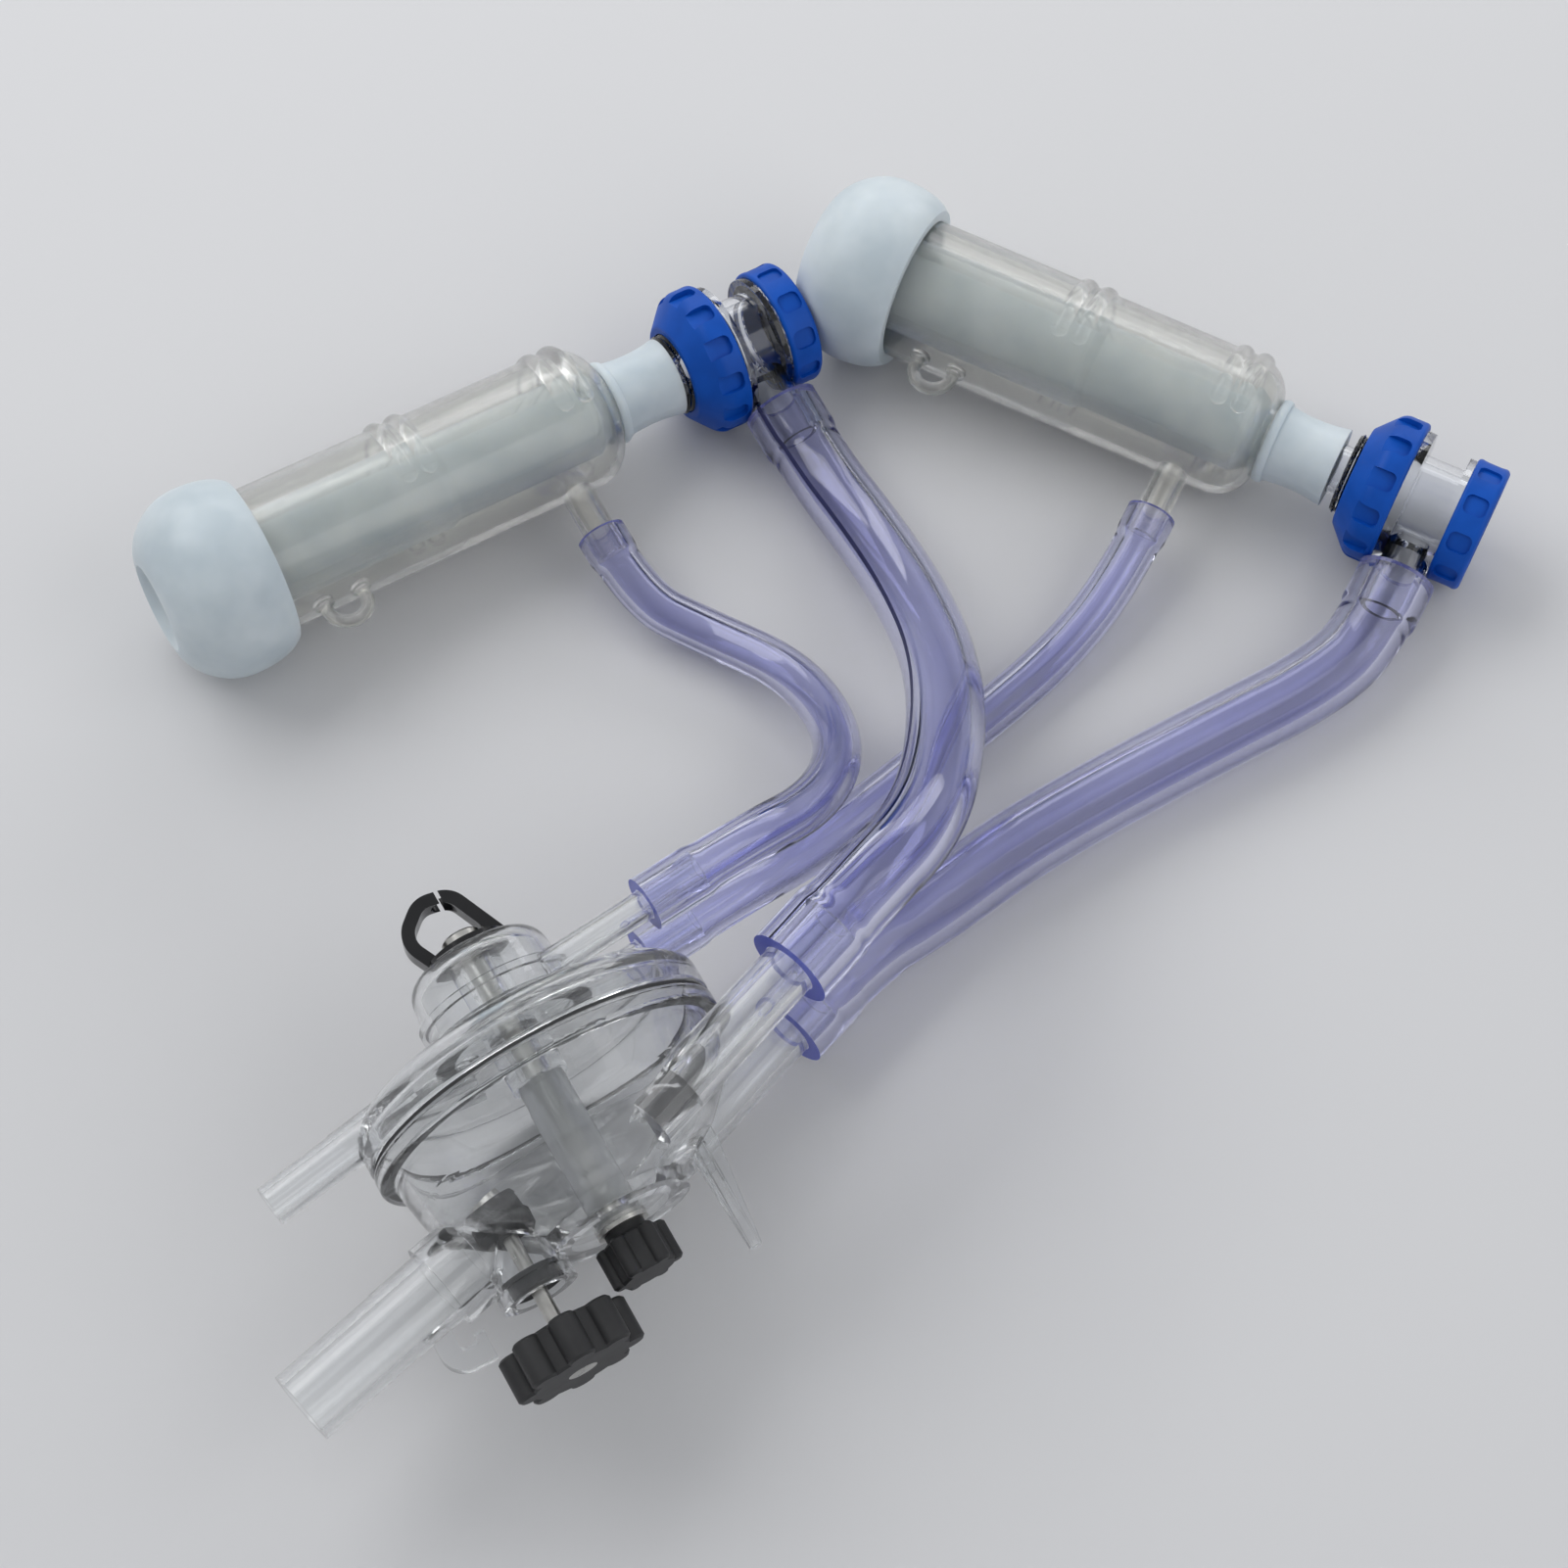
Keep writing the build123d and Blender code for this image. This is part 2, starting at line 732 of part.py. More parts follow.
def claw_bowl():
    """Clear bowl with tangential inlets, outlet, drip hook, spike and stem boss in one moulding."""
    rim_bottom = rim_top - rim_thickness
    outer = turned(
        [
            (0, rim_top),
            (rim_radius, rim_top),
            (rim_radius, rim_bottom),
            (bowl_radius, rim_bottom),
            (bowl_turn_radius, bowl_turn),
            (bowl_knee_radius, bowl_knee),
            (bowl_plate_radius, bowl_plate_top),
            (bowl_plate_radius - bowl_plate_taper, bowl_bottom),
            (0, bowl_bottom),
        ],
        {1: rim_edge, 2: rim_edge, 4: bowl_turn_round, 5: bowl_knee_round},
    )
    floor = bowl_bottom + bowl_wall
    cavity = turned(
        [
            (0, rim_top),
            (bowl_radius - bowl_wall, rim_top),
            (bowl_turn_radius - bowl_wall, bowl_turn),
            (bowl_knee_radius - bowl_wall, bowl_knee + bowl_wall),
            (bowl_plate_radius - bowl_wall, bowl_plate_top + bowl_wall),
            (bowl_plate_radius - bowl_wall - bowl_floor_taper, floor),
            (0, floor),
        ],
        {2: bowl_turn_round - bowl_wall, 3: bowl_knee_round - bowl_wall},
    )
    body = outer
    for side in (-inlet_offset, inlet_offset):
        ends = [
            (place, side, along_slope(inlet_anchor, inlet_height, inlet_slope, place))
            for place in (inlet_root, inlet_end)
        ]
        body += rod(ends[0], ends[1], inlet_radius)

    drop = tan(radians(outlet_slope))
    outlet_tip = (outlet_end, 0, outlet_root_height + (outlet_end - outlet_root) * drop)
    outlet_start = (stem_place, 0, outlet_root_height + (stem_place - outlet_root) * drop)
    body += spigot(outlet_start, outlet_tip, outlet_radius, outlet_straight, outlet_draft)
    collar_far = outlet_root - outlet_collar
    collar = [
        (place, 0, outlet_root_height + (place - outlet_root) * drop)
        for place in (outlet_root + outlet_collar_overlap, collar_far)
    ]
    body += rod(collar[0], collar[1], outlet_collar_radius)

    body += Pos(stem_place, 0, stem_boss_bottom) * Cylinder(
        stem_boss_radius, stem_boss_top - stem_boss_bottom, align=standing
    )
    body += spike()
    body += drip_hook()

    body -= cavity
    for side in (-inlet_offset, inlet_offset):
        ends = [
            (place, side, along_slope(inlet_anchor, inlet_height, inlet_slope, place))
            for place in (inlet_bore_root, inlet_end)
        ]
        body -= rod(ends[0], ends[1], inlet_inner)
    body -= rod(outlet_start, outlet_tip, outlet_bore)
    well = plunger_radius + loose_fit
    body -= Pos(stem_place, 0, stem_boss_step) * Cylinder(
        well, plunger_top - stem_boss_step, align=standing
    )
    body -= Pos(stem_place, 0, stem_boss_bottom) * Cylinder(
        stem_boss_mouth, stem_boss_step - stem_boss_bottom, align=standing
    )
    return body - Pos(0, 0, floor) * Cylinder(bolt_radius + running_fit, 4 * bowl_wall)


def spike():
    """Tapered foot spike with a cross-shaped section."""
    root_high = bowl_knee_radius - spike_from_knee
    root_low = root_high - spike_root
    tip_high = bowl_knee_radius - spike_tip_from_knee
    tip_low = tip_high - spike_tip_width
    top = spike_top + spike_sink
    shoulder = spike_top - spike_straight
    blade = make_face(
        Polyline(
            (root_low, top),
            (root_high, top),
            (root_high, shoulder),
            (tip_high, spike_tip),
            (tip_low, spike_tip),
            (root_low, shoulder),
            close=True,
        )
    )
    fin = make_face(
        Polyline(
            (-spike_cross / 2, top),
            (spike_cross / 2, top),
            (spike_cross / 2, shoulder),
            (spike_tip_width / 2, spike_tip),
            (-spike_tip_width / 2, spike_tip),
            (-spike_cross / 2, shoulder),
            close=True,
        )
    )
    middle = (tip_low + tip_high) / 2
    return extrude(Plane.XZ * blade, spike_web / 2, both=True) + Pos(middle, 0, 0) * extrude(
        Plane.YZ * fin, spike_web / 2, both=True
    )


def drip_hook():
    """Small J under the outlet that holds a hose or cap, open towards the knobs."""
    tip = drip_hook_place + drip_hook_reach
    path = FilletPolyline(
        (drip_hook_place, 0, bowl_plate_top),
        (drip_hook_place, 0, drip_hook_low),
        (tip, 0, drip_hook_low),
        radius=drip_hook_turn,
    )
    start = Plane(origin=path @ 0, x_dir=(1, 0, 0), z_dir=path % 0)
    lip = Box(drip_hook_lip, drip_hook_width, drip_hook_lip_height)
    bend = sweep(start * Rectangle(drip_hook_band, drip_hook_width), path)
    return bend + Pos(tip, 0, drip_hook_low + drip_hook_lip_lift) * lip


def rim_gasket():
    return turned(
        [
            (bowl_radius - bowl_wall, rim_top),
            (rim_radius - gasket_inset, rim_top),
            (rim_radius - gasket_inset, rim_top + gasket_gap),
            (bowl_radius - bowl_wall, rim_top + gasket_gap),
        ]
    )


def claw_cover():
    """Clear cover with a deep skirt, a low cone, a centre boss and the long pulse inlet."""
    start = rim_top + gasket_gap
    inside = bowl_radius - bowl_wall
    outer = turned(
        [
            (0, start),
            (rim_radius, start),
            (rim_radius, cover_skirt_top),
            (cover_knee_radius, cover_knee),
            (cover_neck_radius, cover_neck),
            (0, cover_neck),
        ],
        cover_rounds,
    )
    cavity = turned(
        [
            (0, start),
            (inside, start),
            (inside, cover_skirt_top - cover_wall / 2),
            (cover_knee_radius - 2 * cover_wall, cover_knee - cover_wall),
            (cover_neck_radius, cover_neck - cover_wall),
            (0, cover_neck - cover_wall),
        ],
        cover_cavity_rounds,
    )
    ends = [
        (place, 0, along_slope(pulse_inlet_anchor, pulse_inlet_height, pulse_inlet_slope, place))
        for place in (pulse_inlet_root, pulse_inlet_end)
    ]
    middle = (pulse_inlet_anchor, 0, pulse_inlet_height)
    duct = (pulse_riser_place, 0, cover_neck - pulse_duct_depth)
    body = outer - cavity
    body += rod(duct, middle, pulse_inlet_radius)
    body += spigot(ends[0], ends[1], pulse_inlet_radius, pulse_inlet_straight, pulse_inlet_draft)
    body += Pos(0, 0, sleeve_top) * Cylinder(
        cover_boss_radius, cover_neck - sleeve_top, align=standing
    )
    body -= rod(duct, middle, pulse_inlet_bore)
    body -= rod(middle, ends[1], pulse_inlet_bore)
    body -= rod(duct, (pulse_riser_place, 0, cover_neck), pulse_riser_bore)
    return body - Cylinder(bolt_radius + running_fit, bolt_hole_length)


def chamber_seal():
    start = cover_neck
    return turned(
        [
            (chamber_neck_radius - chamber_wall, start),
            (chamber_flange_radius - seal_inset, start),
            (chamber_flange_radius - seal_inset, chamber_base),
            (chamber_neck_radius - chamber_wall, chamber_base),
        ]
    )


def pulse_chamber():
    """Clear dome over the cover, with two pulse nipples that leave it tangentially."""
    collar_low = chamber_collar - chamber_collar_half
    collar_high = chamber_collar + chamber_collar_half
    collar_radius = chamber_dome_radius + chamber_collar_lip
    outer = turned(
        [
            (0, chamber_base),
            (chamber_flange_radius, chamber_base),
            (chamber_flange_radius, chamber_base + chamber_flange),
            (chamber_neck_radius, chamber_base + chamber_flange),
            (chamber_neck_radius, collar_low),
            (collar_radius, collar_low),
            (collar_radius, collar_high),
            (chamber_dome_radius, collar_high),
            (chamber_dome_radius - chamber_dome_taper, chamber_top),
            (0, chamber_top),
        ],
        {8: chamber_dome_round},
    )
    inside = chamber_neck_radius - chamber_wall
    cavity = turned(
        [
            (0, chamber_base),
            (inside, chamber_base),
            (inside - chamber_cavity_taper, chamber_top - chamber_wall),
            (0, chamber_top - chamber_wall),
        ],
        {2: chamber_cavity_round},
    )
    body = outer
    bores = []
    for side in (-claw_pulse_offset, claw_pulse_offset):
        ends = [
            (place, side, along_slope(claw_pulse_anchor, claw_pulse_height, claw_pulse_slope, place))
            for place in (claw_pulse_root, claw_pulse_end)
        ]
        body += rod(ends[0], ends[1], claw_pulse_radius)
        bores.append(rod(ends[0], ends[1], claw_pulse_bore))
    body -= cavity
    body -= Pos(0, 0, chamber_base) * Cylinder(rim_radius, chamber_base, align=hanging)
    for bore in bores:
        body -= bore
    body += Pos(0, 0, chamber_base) * Cylinder(
        cover_boss_radius - chamber_post_gap, chamber_top - chamber_base, align=standing
    )
    return body - Cylinder(bolt_radius + running_fit, bolt_hole_length)


def hanging_hook():
    """Gloss black closed loop on a round base, held by the bolt's head."""
    base = Pos(0, 0, chamber_top) * Cylinder(
        hook_base_radius, hook_base, align=standing
    )
    foot = chamber_top + hook_base / 2
    path = FilletPolyline(
        (hook_near_foot, 0, foot),
        (hook_near_side, 0, hook_shoulder),
        (hook_peak_start, 0, hook_peak),
        (hook_peak_end, 0, hook_peak - hook_peak_drop),
        (hook_far_foot, 0, foot),
        radius=hook_turns,
    )
    start = Plane(origin=path @ 0, x_dir=(0, 1, 0), z_dir=path % 0)
    loop = sweep(start * Rectangle(hook_band, hook_rod), path)
    hook = base + loop
    hook -= Pos(0, 0, chamber_top) * Cylinder(
        2 * hook_base_radius, chamber_top, align=hanging
    )
    return hook - Cylinder(bolt_radius + running_fit, bolt_hole_length)


def column_sleeve():
    low = bowl_bottom + bowl_wall
    return turned(
        [
            (bolt_radius + running_fit, low),
            (sleeve_radius, low),
            (sleeve_radius, sleeve_top),
            (bolt_radius + running_fit, sleeve_top),
        ]
    )


def through_bolt():
    """Stainless bolt from the hook's base down into the clamp knob."""
    top = chamber_top + hook_base
    low = bowl_bottom - washer_thickness - clamp_knob_length + bolt_end_cover
    shank = Pos(0, 0, low) * Cylinder(bolt_radius, top - low, align=standing)
    head = Pos(0, 0, top) * Cylinder(bolt_head_radius, bolt_head, align=standing)
    return shank + chamfer(head.edges().group_by(Axis.Z)[-1], bolt_head_edge)


def clamp_washer():
    return turned(
        [
            (bolt_radius + running_fit, bowl_bottom - washer_thickness),
            (washer_radius, bowl_bottom - washer_thickness),
            (washer_radius, bowl_bottom),
            (bolt_radius + running_fit, bowl_bottom),
        ]
    )


def star(radius, lobes, length):
    """A star grip: round lobes about a waisted middle, with softened ends."""
    waist = radius * knob_waist
    lobe = (radius - waist) * knob_lobe
    sketch = Circle(waist)
    for turn in range(lobes):
        sketch += Rot(0, 0, 360 * turn / lobes) * Pos(radius - lobe, 0) * Circle(lobe)
    return chamfer(extrude(sketch, length).faces().filter_by(Axis.Z).edges(), knob_edge)


def clamp_knob():
    """Small black knob with a neck, screwed on the bolt's end."""
    top = bowl_bottom - washer_thickness
    neck = Pos(0, 0, top) * Cylinder(
        clamp_knob_neck_radius, clamp_knob_neck, align=hanging
    )
    grip = star(clamp_knob_radius, clamp_knob_lobes, clamp_knob_length - clamp_knob_neck)
    knob = neck + Pos(0, 0, top - clamp_knob_length) * grip
    low = top - clamp_knob_length + bolt_end_cover
    return knob - Pos(0, 0, low) * Cylinder(
        bolt_radius + running_fit, clamp_knob_length, align=standing
    )


def shutoff_stem():
    """Stainless pin through the boss, with a head on the plunger and a nut in the star knob."""
    low = stem_boss_bottom - star_knob_gap - star_knob_length
    return turned(
        [
            (0, low),
            (star_insert_radius, low),
            (star_insert_radius, low + star_insert),
            (stem_radius, low + star_insert),
            (stem_radius, plunger_top),
            (stem_radius + stem_head, plunger_top),
            (stem_radius + stem_head - stem_head_taper, plunger_top + stem_head_height),
            (0, plunger_top + stem_head_height),
        ]
    )


def shutoff_plunger():
    low = plunger_top - plunger_length
    return turned(
        [
            (stem_radius + running_fit, low),
            (plunger_radius - plunger_bevel, low),
            (plunger_radius, low + plunger_edge),
            (plunger_radius, plunger_top - plunger_edge),
            (plunger_radius - plunger_bevel, plunger_top),
            (stem_radius + running_fit, plunger_top),
        ]
    )


def shutoff_seal():
    """Rubber bush in the boss, flanged on the inside, that the pin slides through."""
    mouth = stem_boss_mouth - running_fit
    return turned(
        [
            (stem_radius + running_fit, stem_boss_step - seal_depth),
            (mouth, stem_boss_step - seal_depth),
            (mouth, stem_boss_step),
            (plunger_radius, stem_boss_step),
            (plunger_radius, stem_boss_step + seal_flange),
            (stem_radius + running_fit, stem_boss_step + seal_flange),
        ]
    )


def shutoff_knob():
    """Large black star knob that is pushed in to open the claw and pulled out to shut it."""
    top = stem_boss_bottom - star_knob_gap
    knob = Pos(0, 0, top - star_knob_length) * star(star_knob_radius, star_knob_lobes, star_knob_length)
    knob -= Pos(0, 0, top - star_knob_length) * Cylinder(
        star_insert_radius + running_fit, star_insert, align=standing
    )
    return knob - Pos(0, 0, top) * Cylinder(stem_radius + running_fit, 3 * star_knob_length)


def hose(points, radius, bore, cuffs):
    """A hollow tube along straight runs joined by arcs, with a pushed-on cuff at each end.

    Each cuff is (outer radius, nipple radius, cuff length, nipple length inside the tube).
    """
    corners = [Vector(point) for point in points]
    radii = []
    for before, corner, after in zip(corners, corners[1:], corners[2:]):
        turn = (corner - before).get_angle(after - corner)
        shorter = min((corner - before).length, (after - corner).length)
        radii.append(tube_arc_share * shorter / tan(radians(turn / 2)))
    path = FilletPolyline(*corners, radius=radii)
    start = Plane(origin=path @ 0, z_dir=path % 0)
    tube = sweep(start * Circle(radius), path)
    hollow = sweep(start * Circle(bore), path)
    ends = [(corners[0], corners[1], cuffs[0]), (corners[-1], corners[-2], cuffs[1])]
    for end, inward, (cuff_radius, nipple, cuff_length, depth) in ends:
        way = (inward - end).normalized()
        tube += rod(end, end + way * cuff_length, cuff_radius)
    tube -= hollow
    for end, inward, (cuff_radius, nipple, cuff_length, depth) in ends:
        way = (inward - end).normalized()
        tube -= rod(end, end + way * (depth + loose_fit), nipple + running_fit)
    plain = pi * (radius**2 - bore**2) * path.length
    print("hose length", round(path.length, 1), "radii", [round(value) for value in radii])
    print("volume", round(tube.volume), "of a plain tube", round(plain))
    return tube


def spot(frame, x, y, z):
    """The place on the table of a point in a frame of its own."""
    return (frame * Pos(x, y, z)).position


def nipple_spots(frame, droop, place, distances):
    """Points on the axis of a drooping cup or valve nipple, at distances from the cup's axis."""
    lean = radians(droop)
    return [spot(frame, reach * cos(lean), reach * sin(lean), place) for reach in distances]


def milk_hose(name, route, cuff_place):
    """Wide tube from a valve to a milk inlet of the claw."""
    side = {"a": -inlet_offset, "b": inlet_offset}[name]
    valve = cups[name] * Pos(0, 0, tail_end + shifts[name])
    leave = (milk_cuff_from_axis, milk_cuff_from_axis + milk_first_run)
    start = nipple_spots(valve, milk_nipple_droop, collar_end + milk_nipple_place, leave)
    flat = cos(radians(inlet_slope))
    end = [
        spot(claw, place, side, along_slope(inlet_anchor, inlet_height, inlet_slope, place))
        for place in (cuff_place + milk_last_run * flat, cuff_place)
    ]
    depths = (milk_nipple_reach - milk_cuff_from_axis, (inlet_end - cuff_place) / flat)
    cuffs = (
        (milk_cuff_radius, milk_nipple_radius, milk_cuff_at_valve, depths[0]),
        (milk_cuff_radius, inlet_radius, milk_cuff_at_claw, depths[1]),
    )
    return hose([*start, *route, *end], milk_tube_radius, milk_tube_bore, cuffs)


def pulse_hose(name, route):
    """Narrow tube from a shell's nipple to a pulse nipple of the claw."""
    side = {"a": -claw_pulse_offset, "b": claw_pulse_offset}[name]
    leave = (pulse_cuff_from_axis, pulse_cuff_from_axis + pulse_first_run)
    start = nipple_spots(cups[name], pulse_nipple_droop, pulse_nipple_place, leave)
    flat = cos(radians(claw_pulse_slope))
    end = [
        spot(claw, place, side, along_slope(claw_pulse_anchor, claw_pulse_height, claw_pulse_slope, place))
        for place in (claw_pulse_cuff_place + pulse_last_run * flat, claw_pulse_cuff_place)
    ]
    depths = (pulse_nipple_reach - pulse_cuff_from_axis, (claw_pulse_end - claw_pulse_cuff_place) / flat)
    cuffs = (
        (pulse_cuff_radius, pulse_nipple_radius, pulse_cuff_at_shell, depths[0]),
        (pulse_cuff_radius, claw_pulse_radius, pulse_cuff_at_claw, depths[1]),
    )
    return hose([*start, *route, *end], pulse_tube_radius, pulse_tube_bore, cuffs)


cups = {
    "a": cup_frame(cup_a_tail, tail_end, cup_a_heading, valve_shift_a, head_pull_a),
    "b": cup_frame(cup_b_seam, 0, cup_b_heading, valve_shift_b, head_pull_b),
}
shifts = {"a": valve_shift_a, "b": valve_shift_b}
pulls = {"a": head_pull_a, "b": head_pull_b}
claw = claw_frame()

pieces = {}
for name, frame in cups.items():
    valve = frame * Pos(0, 0, tail_end + shifts[name])
    pieces["shell_" + name] = frame * shell()
    pieces["liner_" + name] = frame * liner(pulls[name])
    pieces["valve_inlet_" + name] = valve * valve_inlet()
    pieces["valve_gasket_" + name] = valve * valve_gasket()
    pieces["valve_ring_" + name] = valve * valve_ring()
    pieces["valve_body_" + name] = valve * valve_body()
    pieces["diaphragm_" + name] = valve * diaphragm()
    pieces["valve_cap_" + name] = valve * valve_cap()
    pieces["cap_ring_" + name] = valve * cap_ring()

for name, maker in {
    "claw_bowl": claw_bowl,
    "claw_cover": claw_cover,
    "rim_gasket": rim_gasket,
    "pulse_chamber": pulse_chamber,
    "chamber_seal": chamber_seal,
    "hanging_hook": hanging_hook,
    "column_sleeve": column_sleeve,
    "through_bolt": through_bolt,
    "clamp_washer": clamp_washer,
    "clamp_knob": clamp_knob,
}.items():
    pieces[name] = claw * maker()

stem_frame = claw * Pos(stem_place, 0, 0)
for name, maker in {
    "shutoff_stem": shutoff_stem,
    "shutoff_plunger": shutoff_plunger,
    "shutoff_seal": shutoff_seal,
    "shutoff_knob": shutoff_knob,
}.items():
    pieces[name] = stem_frame * maker()

pieces["milk_tube_a"] = milk_hose("a", milk_route_a, inlet_cuff_place_a)
pieces["milk_tube_b"] = milk_hose("b", milk_route_b, inlet_cuff_place_b)
pieces["pulse_tube_a"] = pulse_hose("a", pulse_route_a)
pieces["pulse_tube_b"] = pulse_hose("b", pulse_route_b)

os.makedirs("parts", exist_ok=True)
for name, piece in pieces.items():
    export_step(piece, "parts/" + name + ".step")
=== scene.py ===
"""Looks for a two-teat milking claw on a table: clear plastics, milky liners, blue rings, free tubes."""

import json
import math

import bpy
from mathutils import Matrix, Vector


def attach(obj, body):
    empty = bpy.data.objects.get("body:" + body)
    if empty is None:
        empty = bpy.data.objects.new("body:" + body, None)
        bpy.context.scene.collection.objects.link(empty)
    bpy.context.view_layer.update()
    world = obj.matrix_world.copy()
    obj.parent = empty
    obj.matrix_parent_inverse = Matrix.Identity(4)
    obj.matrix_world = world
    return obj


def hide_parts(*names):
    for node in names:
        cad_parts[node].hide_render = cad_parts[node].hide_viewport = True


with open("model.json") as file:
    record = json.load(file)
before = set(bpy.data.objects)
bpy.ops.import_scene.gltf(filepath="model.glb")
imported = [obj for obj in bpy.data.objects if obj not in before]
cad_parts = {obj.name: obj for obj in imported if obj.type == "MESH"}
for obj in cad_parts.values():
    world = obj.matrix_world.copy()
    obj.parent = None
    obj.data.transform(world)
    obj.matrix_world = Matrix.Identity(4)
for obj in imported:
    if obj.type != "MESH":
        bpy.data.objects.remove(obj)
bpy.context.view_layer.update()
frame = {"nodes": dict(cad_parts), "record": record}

# Camera, in metres and degrees
LOOK_AT = Vector((-0.0132, 0.0064, 0.0))
LOOK_DOWN = 61.5
CAMERA_DISTANCE = 0.859
LENS = 67.46
SENSOR = 36.0

# Tubes, in metres
MILK_RADIUS = 0.011
MILK_BORE = 0.007
MILK_CUFF = 0.0118
MILK_CUFFS = (0.0125, 0.017)
PULSE_RADIUS = 0.007
PULSE_BORE = 0.004
PULSE_CUFF = 0.0076
PULSE_CUFFS = (0.007, 0.016)
CUFF_FADE = 0.0035

# Nipples inside the tubes, at the cup and at the claw: their radii, and how deep they reach
MILK_NIPPLES = (0.00725, 0.00745)
MILK_DEPTHS_A = (0.0123, 0.0156)
MILK_DEPTHS_B = (0.0123, 0.0106)
PULSE_NIPPLES = (0.005, 0.0042)
PULSE_DEPTHS = (0.008, 0.0165)
NIPPLE_CLEARANCE = 0.0002
NIPPLE_FADE = 0.003

# Tube meshes: sides round, the first side and width of the stripe, and how finely the route is stepped
TUBE_SIDES = 48
STRIPE_SIDE = 42
STRIPE_SIDES = 1
ROUTE_STEPS = 16
ROUTE_ORDER = 3
SHARP_ANGLE = 40

# Material slots of a tube mesh
WALL = 0
CUT_END = 1
STRIPE = 2
TUBE_MATERIALS = ("tube_clear", "tube_end", "navy")

# Each tube's route has the CAD source's points; its first and last two lie on the axes of its nipples.
MILK_ROUTE_A = [
    (-0.0143, 0.1296, 0.0167),
    (-0.0035, 0.1112, 0.0114),
    (0.013, 0.082, 0.016),
    (0.025, 0.052, 0.027),
    (0.032, 0.020, 0.042),
    (0.031, -0.014, 0.057),
    (0.024, -0.044, 0.071),
    (0.0075, -0.0669, 0.0805),
    (-0.0119, -0.0897, 0.0793),
]
MILK_ROUTE_B = [
    (0.1690, 0.0677, 0.0167),
    (0.1592, 0.0488, 0.0114),
    (0.143, 0.034, 0.011),
    (0.113, 0.017, 0.011),
    (0.082, -0.001, 0.011),
    (0.052, -0.020, 0.011),
    (0.028, -0.040, 0.012),
    (0.0071, -0.0569, 0.0191),
    (-0.0123, -0.0797, 0.0179),
]
PULSE_ROUTE_A = [
    (-0.0680, 0.0821, 0.0174),
    (-0.0561, 0.0619, 0.0125),
    (-0.037, 0.054, 0.008),
    (-0.009, 0.036, 0.014),
    (0.004, 0.004, 0.030),
    (-0.003, -0.027, 0.052),
    (-0.0241, -0.0498, 0.0719),
    (-0.0492, -0.0679, 0.0716),
]
PULSE_ROUTE_B = [
    (0.0973, 0.0893, 0.0175),
    (0.0865, 0.0685, 0.0125),
    (0.069, 0.047, 0.007),
    (0.047, 0.026, 0.007),
    (0.023, 0.005, 0.008),
    (-0.005, -0.023, 0.015),
    (-0.0263, -0.0460, 0.0342),
    (-0.0514, -0.0641, 0.0338),
]


# Refraction of the clear plastics and of silicone
CLEAR_IOR = 1.47
SILICONE_IOR = 1.41

# Noise: scales of the drift in colour and roughness and of the fine bump, and its detail
CLEAR_DRIFT = 40
CLEAR_GRAIN = 90
OPAQUE_DRIFT = 120
DRIFT_DETAIL = 3
GRAIN_DETAIL = 2
DRIFT_START = 0.35
DRIFT_END = 0.65
BUMP_HEIGHT = 0.0004

# How light scatters in the silicone
SCATTER_WEIGHT = 0.5
SCATTER_RADIUS = (0.9, 1.0, 1.2)
SCATTER_DEPTH = 0.004

# Looks: two shades and two roughnesses that a surface drifts between, then its bump
CLEAR_LOOKS = {
    "cup_clear": {
        "shades": ((0.93, 0.92, 0.87), (0.95, 0.94, 0.90)),
        "roughness": (0.06, 0.12),
        "bump": 0.03,
        "alpha": 0.72,
    },
    "claw_clear": {
        "shades": ((0.95, 0.96, 0.97), (0.97, 0.98, 0.98)),
        "roughness": (0.0, 0.03),
        "bump": 0.01,
        "alpha": 0.92,
    },
    "valve_clear": {
        "shades": ((0.90, 0.92, 0.95), (0.94, 0.95, 0.97)),
        "roughness": (0.02, 0.06),
        "bump": 0.02,
    },
    "tube_clear": {
        "shades": ((0.70, 0.71, 0.94), (0.75, 0.76, 0.95)),
        "roughness": (0.02, 0.05),
        "bump": 0.02,
    },
    "tube_end": {
        "shades": ((0.06, 0.09, 0.74), (0.09, 0.13, 0.80)),
        "roughness": (0.2, 0.3),
        "bump": 0.05,
        "transmission": 0.25,
    },
    "frosted": {
        "shades": ((0.80, 0.82, 0.83), (0.88, 0.89, 0.90)),
        "roughness": (0.35, 0.45),
        "bump": 0.05,
        "transmission": 0.85,
    },
}
OPAQUE_LOOKS = {
    "blue_plastic": {
        "shades": ((0.001, 0.065, 0.38), (0.002, 0.078, 0.44)),
        "roughness": (0.4, 0.52),
        "bump": 0.05,
        "grain": 700,
        "specular": 0.2,
    },
    "black_matt": {
        "shades": ((0.012, 0.012, 0.013), (0.02, 0.02, 0.021)),
        "roughness": (0.42, 0.6),
        "bump": 0.08,
        "grain": 900,
    },
    "black_gloss": {
        "shades": ((0.005, 0.005, 0.006), (0.008, 0.008, 0.009)),
        "roughness": (0.12, 0.2),
        "bump": 0.02,
        "grain": 500,
    },
    "seal_rubber": {
        "shades": ((0.03, 0.03, 0.032), (0.045, 0.045, 0.047)),
        "roughness": (0.55, 0.7),
        "bump": 0.06,
        "grain": 800,
    },
    "navy": {
        "shades": ((0.006, 0.008, 0.06), (0.01, 0.012, 0.08)),
        "roughness": (0.3, 0.4),
        "bump": 0.03,
        "grain": 700,
    },
}
SILICONE_LOOK = {
    "shades": ((0.50, 0.57, 0.61), (0.62, 0.68, 0.71)),
    "roughness": (0.3, 0.45),
    "drift": 45,
    "bump": 0.12,
    "grain": 160,
}
